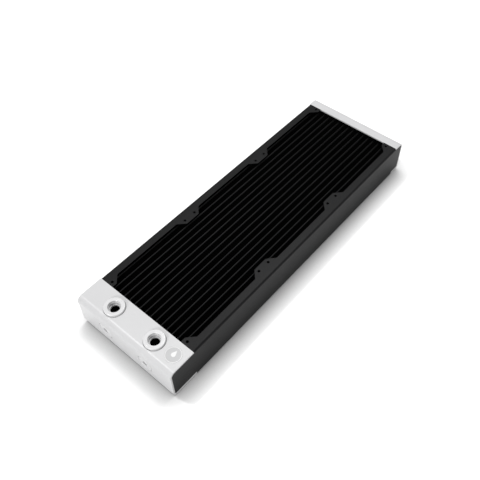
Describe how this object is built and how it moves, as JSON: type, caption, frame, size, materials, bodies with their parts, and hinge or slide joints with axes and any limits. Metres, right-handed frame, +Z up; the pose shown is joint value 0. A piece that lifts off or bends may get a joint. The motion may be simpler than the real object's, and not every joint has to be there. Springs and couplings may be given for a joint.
{
  "type": "liquid cooling radiator",
  "caption": "Flat box radiator for liquid cooling with a finned tube core, folded side panels with fan screw tabs, white end covers and threaded coolant ports.",
  "frame": {"origin": "centre of the underside of the bounding box", "axes": "+X across the width to the right, +Y along the length from the ports to the far end, +Z up"},
  "size_m": [0.13, 0.4, 0.0464],
  "materials": {
    "panel_black": "fine satin powder coat",
    "fin_paint": "thin matt black spray over copper",
    "tube_paint": "satin black spray over brass",
    "tank_brass": "drawn sheet, hidden inside",
    "cover_white": "satin white coat",
    "port_white": "smooth white coat",
    "plug_white": "smooth white coat",
    "badge_grey": "pale satin",
    "seal_rubber": "matt"
  },
  "bodies": {
    "radiator": {"flat_tube_01": "tube_paint", "flat_tube_02": "tube_paint", "flat_tube_03": "tube_paint", "flat_tube_04": "tube_paint", "flat_tube_05": "tube_paint", "flat_tube_06": "tube_paint", "flat_tube_07": "tube_paint", "flat_tube_08": "tube_paint", "flat_tube_09": "tube_paint", "flat_tube_10": "tube_paint", "flat_tube_11": "tube_paint", "flat_tube_12": "tube_paint", "flat_tube_13": "tube_paint", "flat_tube_14": "tube_paint", "flat_tube_15": "tube_paint", "flat_tube_16": "tube_paint", "fin_row_01": "fin_paint", "fin_row_02": "fin_paint", "fin_row_03": "fin_paint", "fin_row_04": "fin_paint", "fin_row_05": "fin_paint", "fin_row_06": "fin_paint", "fin_row_07": "fin_paint", "fin_row_08": "fin_paint", "fin_row_09": "fin_paint", "fin_row_10": "fin_paint", "fin_row_11": "fin_paint", "fin_row_12": "fin_paint", "fin_row_13": "fin_paint", "fin_row_14": "fin_paint", "fin_row_15": "fin_paint", "fin_row_16": "fin_paint", "fin_row_17": "fin_paint", "left_core_plate": "tube_paint", "right_core_plate": "tube_paint", "front_header_plate": "tank_brass", "rear_header_plate": "tank_brass", "front_tank": "tank_brass", "rear_tank": "tank_brass", "tank_divider": "tank_brass", "left_side_panel": "panel_black", "right_side_panel": "panel_black", "front_cover": "cover_white", "rear_cover": "cover_white", "badge": "badge_grey", "top_left_port": "port_white", "top_right_port": "port_white", "front_left_port": "port_white", "front_right_port": "port_white", "bottom_left_port": "port_white", "bottom_right_port": "port_white"},
    "front_left_seal_ring": {"front_left_seal": "seal_rubber"},
    "front_left_stop_plug": {"front_left_plug": "plug_white"},
    "front_right_seal_ring": {"front_right_seal": "seal_rubber"},
    "front_right_stop_plug": {"front_right_plug": "plug_white"},
    "bottom_left_seal_ring": {"bottom_left_seal": "seal_rubber"},
    "bottom_left_stop_plug": {"bottom_left_plug": "plug_white"},
    "bottom_right_seal_ring": {"bottom_right_seal": "seal_rubber"},
    "bottom_right_stop_plug": {"bottom_right_plug": "plug_white"}
  },
  "joints": [
    {"name": "front_left_plug_travel", "type": "slide", "parent": "radiator", "child": "front_left_seal_ring", "axis": [0, -1, 0], "range_m": [0, 0.0048]},
    {"name": "front_left_plug_turn", "type": "hinge", "parent": "front_left_seal_ring", "child": "front_left_stop_plug", "pos_m": [-0.028, -0.2, 0.022], "axis": [0, -1, 0], "range_deg": [0, 1260]},
    {"name": "front_right_plug_travel", "type": "slide", "parent": "radiator", "child": "front_right_seal_ring", "axis": [0, -1, 0], "range_m": [0, 0.0048]},
    {"name": "front_right_plug_turn", "type": "hinge", "parent": "front_right_seal_ring", "child": "front_right_stop_plug", "pos_m": [0.028, -0.2, 0.022], "axis": [0, -1, 0], "range_deg": [0, 1260]},
    {"name": "bottom_left_plug_travel", "type": "slide", "parent": "radiator", "child": "bottom_left_seal_ring", "axis": [0, 0, -1], "range_m": [0, 0.0048]},
    {"name": "bottom_left_plug_turn", "type": "hinge", "parent": "bottom_left_seal_ring", "child": "bottom_left_stop_plug", "pos_m": [-0.028, -0.1829, 0], "axis": [0, 0, -1], "range_deg": [0, 1260]},
    {"name": "bottom_right_plug_travel", "type": "slide", "parent": "radiator", "child": "bottom_right_seal_ring", "axis": [0, 0, -1], "range_m": [0, 0.0048]},
    {"name": "bottom_right_plug_turn", "type": "hinge", "parent": "bottom_right_seal_ring", "child": "bottom_right_stop_plug", "pos_m": [0.028, -0.1829, 0], "axis": [0, 0, -1], "range_deg": [0, 1260]}
  ],
  "couplings": [
    {"joint": "front_left_plug_travel", "follows": "front_left_plug_turn", "m_per_rad": 0.00021279},
    {"joint": "front_right_plug_travel", "follows": "front_right_plug_turn", "m_per_rad": 0.00021279},
    {"joint": "bottom_left_plug_travel", "follows": "bottom_left_plug_turn", "m_per_rad": 0.00021279},
    {"joint": "bottom_right_plug_travel", "follows": "bottom_right_plug_turn", "m_per_rad": 0.00021279}
  ]
}
